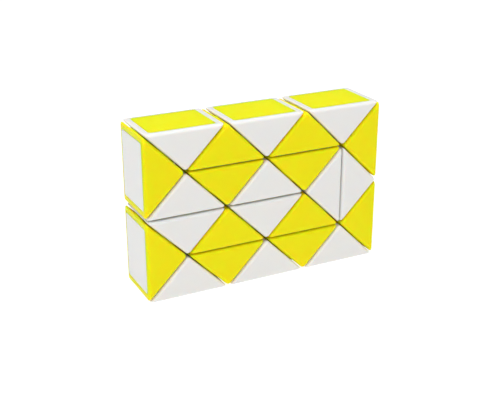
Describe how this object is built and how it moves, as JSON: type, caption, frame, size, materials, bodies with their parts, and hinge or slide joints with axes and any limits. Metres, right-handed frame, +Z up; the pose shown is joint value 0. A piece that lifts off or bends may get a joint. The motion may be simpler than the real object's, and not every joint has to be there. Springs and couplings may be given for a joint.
{
  "type": "twisty snake puzzle",
  "caption": "Chain of hinged plastic prism wedges in two alternating colours, folded into a flat standing box, with snap-in covers and spring-loaded swivel joints.",
  "frame": {"origin": "centre of the base, on the surface that the folded box stands on", "axes": "+X along the three squares of the box, +Z up its two squares, -Y towards the viewer"},
  "size_m": [0.0886, 0.021, 0.059],
  "materials": {
    "white": "smooth moulded plastic, warm white, soft gloss",
    "yellow": "smooth moulded plastic, lemon yellow, soft gloss",
    "steel": "bright zinc-plated steel"
  },
  "bodies": {
    "wedge_01": {"white_shell_01": "white", "yellow_cover_01": "yellow", "spring_bolts_01": "steel"},
    "wedge_02": {"yellow_shell_02": "yellow", "white_cover_02": "white"},
    "wedge_03": {"white_shell_03": "white", "yellow_cover_03": "yellow", "spring_bolts_03": "steel"},
    "wedge_04": {"yellow_shell_04": "yellow", "white_cover_04": "white"},
    "wedge_05": {"white_shell_05": "white", "yellow_cover_05": "yellow", "spring_bolts_05": "steel"},
    "wedge_06": {"yellow_shell_06": "yellow", "white_cover_06": "white"},
    "wedge_07": {"white_shell_07": "white", "yellow_cover_07": "yellow", "spring_bolts_07": "steel"},
    "wedge_08": {"yellow_shell_08": "yellow", "white_cover_08": "white"},
    "wedge_09": {"white_shell_09": "white", "yellow_cover_09": "yellow", "spring_bolts_09": "steel"},
    "wedge_10": {"yellow_shell_10": "yellow", "white_cover_10": "white"},
    "wedge_11": {"white_shell_11": "white", "yellow_cover_11": "yellow", "spring_bolts_11": "steel"},
    "wedge_12": {"yellow_shell_12": "yellow", "white_cover_12": "white"},
    "wedge_13": {"white_shell_13": "white", "yellow_cover_13": "yellow", "spring_bolts_13": "steel"},
    "wedge_14": {"yellow_shell_14": "yellow", "white_cover_14": "white"},
    "wedge_15": {"white_shell_15": "white", "yellow_cover_15": "yellow", "spring_bolts_15": "steel"},
    "wedge_16": {"yellow_shell_16": "yellow", "white_cover_16": "white"},
    "wedge_17": {"white_shell_17": "white", "yellow_cover_17": "yellow", "spring_bolts_17": "steel"},
    "wedge_18": {"yellow_shell_18": "yellow", "white_cover_18": "white"},
    "wedge_19": {"white_shell_19": "white", "yellow_cover_19": "yellow", "spring_bolts_19": "steel"},
    "wedge_20": {"yellow_shell_20": "yellow", "white_cover_20": "white"},
    "wedge_21": {"white_shell_21": "white", "yellow_cover_21": "yellow", "spring_bolts_21": "steel"},
    "wedge_22": {"yellow_shell_22": "yellow", "white_cover_22": "white"},
    "wedge_23": {"white_shell_23": "white", "yellow_cover_23": "yellow", "spring_bolts_23": "steel"},
    "wedge_24": {"yellow_shell_24": "yellow", "white_cover_24": "white"}
  },
  "joints": [
    {"name": "turn_01_02", "type": "hinge", "parent": "wedge_02", "child": "wedge_01", "pos_m": [-0.02227, 0, 0.03692], "axis": [-0.7071, 0, -0.7071], "continuous": true},
    {"name": "turn_02_03", "type": "hinge", "parent": "wedge_03", "child": "wedge_02", "pos_m": [-0.00742, 0, 0.03692], "axis": [-0.7071, 0, 0.7071], "continuous": true},
    {"name": "turn_03_04", "type": "hinge", "parent": "wedge_04", "child": "wedge_03", "pos_m": [0.00742, 0, 0.03692], "axis": [-0.7071, 0, -0.7071], "continuous": true},
    {"name": "turn_04_05", "type": "hinge", "parent": "wedge_05", "child": "wedge_04", "pos_m": [0.02227, 0, 0.03692], "axis": [-0.7071, 0, 0.7071], "continuous": true},
    {"name": "turn_05_06", "type": "hinge", "parent": "wedge_06", "child": "wedge_05", "pos_m": [0.02227, 0, 0.02207], "axis": [-0.7071, 0, -0.7071], "continuous": true},
    {"name": "turn_06_07", "type": "hinge", "parent": "wedge_07", "child": "wedge_06", "pos_m": [0.00742, 0, 0.02207], "axis": [-0.7071, 0, 0.7071], "continuous": true},
    {"name": "turn_07_08", "type": "hinge", "parent": "wedge_08", "child": "wedge_07", "pos_m": [-0.00742, 0, 0.02207], "axis": [-0.7071, 0, -0.7071], "continuous": true},
    {"name": "turn_08_09", "type": "hinge", "parent": "wedge_09", "child": "wedge_08", "pos_m": [-0.02227, 0, 0.02207], "axis": [-0.7071, 0, 0.7071], "continuous": true},
    {"name": "turn_09_10", "type": "hinge", "parent": "wedge_10", "child": "wedge_09", "pos_m": [-0.03712, 0, 0.02207], "axis": [-0.7071, 0, -0.7071], "continuous": true},
    {"name": "turn_10_11", "type": "hinge", "parent": "wedge_11", "child": "wedge_10", "pos_m": [-0.03712, 0, 0.00722], "axis": [-0.7071, 0, 0.7071], "continuous": true},
    {"name": "turn_11_12", "type": "hinge", "parent": "wedge_12", "child": "wedge_11", "pos_m": [-0.02227, 0, 0.00722], "axis": [-0.7071, 0, -0.7071], "continuous": true},
    {"name": "turn_12_13", "type": "hinge", "parent": "wedge_13", "child": "wedge_12", "pos_m": [-0.00742, 0, 0.00722], "axis": [-0.7071, 0, 0.7071], "continuous": true},
    {"name": "turn_13_14", "type": "hinge", "parent": "wedge_13", "child": "wedge_14", "pos_m": [0.00742, 0, 0.00722], "axis": [0.7071, 0, 0.7071], "continuous": true},
    {"name": "turn_14_15", "type": "hinge", "parent": "wedge_14", "child": "wedge_15", "pos_m": [0.02227, 0, 0.00722], "axis": [0.7071, 0, -0.7071], "continuous": true},
    {"name": "turn_15_16", "type": "hinge", "parent": "wedge_15", "child": "wedge_16", "pos_m": [0.03712, 0, 0.00722], "axis": [0.7071, 0, 0.7071], "continuous": true},
    {"name": "turn_16_17", "type": "hinge", "parent": "wedge_16", "child": "wedge_17", "pos_m": [0.03712, 0, 0.02207], "axis": [0.7071, 0, -0.7071], "continuous": true},
    {"name": "turn_17_18", "type": "hinge", "parent": "wedge_17", "child": "wedge_18", "pos_m": [0.03712, 0, 0.03692], "axis": [0.7071, 0, 0.7071], "continuous": true},
    {"name": "turn_18_19", "type": "hinge", "parent": "wedge_18", "child": "wedge_19", "pos_m": [0.03712, 0, 0.05177], "axis": [0.7071, 0, -0.7071], "continuous": true},
    {"name": "turn_19_20", "type": "hinge", "parent": "wedge_19", "child": "wedge_20", "pos_m": [0.02227, 0, 0.05177], "axis": [0.7071, 0, 0.7071], "continuous": true},
    {"name": "turn_20_21", "type": "hinge", "parent": "wedge_20", "child": "wedge_21", "pos_m": [0.00742, 0, 0.05177], "axis": [0.7071, 0, -0.7071], "range_deg": [0, 70]},
    {"name": "turn_21_22", "type": "hinge", "parent": "wedge_21", "child": "wedge_22", "pos_m": [-0.00742, 0, 0.05177], "axis": [0.7071, 0, 0.7071], "continuous": true},
    {"name": "turn_22_23", "type": "hinge", "parent": "wedge_22", "child": "wedge_23", "pos_m": [-0.02227, 0, 0.05177], "axis": [0.7071, 0, -0.7071], "continuous": true},
    {"name": "turn_23_24", "type": "hinge", "parent": "wedge_23", "child": "wedge_24", "pos_m": [-0.03712, 0, 0.05177], "axis": [0.7071, 0, 0.7071], "continuous": true}
  ],
  "couplings": [
    {"joint": "turn_01_02", "follows": "turn_20_21", "ratio": 0.077},
    {"joint": "turn_02_03", "follows": "turn_20_21", "ratio": -0.317},
    {"joint": "turn_03_04", "follows": "turn_20_21", "ratio": -0.085},
    {"joint": "turn_04_05", "follows": "turn_20_21", "ratio": 0.214},
    {"joint": "turn_05_06", "follows": "turn_20_21", "ratio": -0.146},
    {"joint": "turn_06_07", "follows": "turn_20_21", "ratio": 0.038},
    {"joint": "turn_07_08", "follows": "turn_20_21", "ratio": 0.149},
    {"joint": "turn_08_09", "follows": "turn_20_21", "ratio": -0.066},
    {"joint": "turn_09_10", "follows": "turn_20_21", "ratio": 0.113},
    {"joint": "turn_10_11", "follows": "turn_20_21", "ratio": 0.07},
    {"joint": "turn_11_12", "follows": "turn_20_21", "ratio": -0.129},
    {"joint": "turn_12_13", "follows": "turn_20_21", "ratio": -0.199},
    {"joint": "turn_13_14", "follows": "turn_20_21", "ratio": 0.063},
    {"joint": "turn_14_15", "follows": "turn_20_21", "ratio": 0.051},
    {"joint": "turn_15_16", "follows": "turn_20_21", "ratio": -0.117},
    {"joint": "turn_16_17", "follows": "turn_20_21", "ratio": -0.116},
    {"joint": "turn_17_18", "follows": "turn_20_21", "ratio": 0.113},
    {"joint": "turn_18_19", "follows": "turn_20_21", "ratio": -0.451},
    {"joint": "turn_19_20", "follows": "turn_20_21", "ratio": 0.135},
    {"joint": "turn_21_22", "follows": "turn_20_21", "ratio": -0.074},
    {"joint": "turn_23_24", "follows": "turn_20_21", "ratio": -0.042}
  ]
}
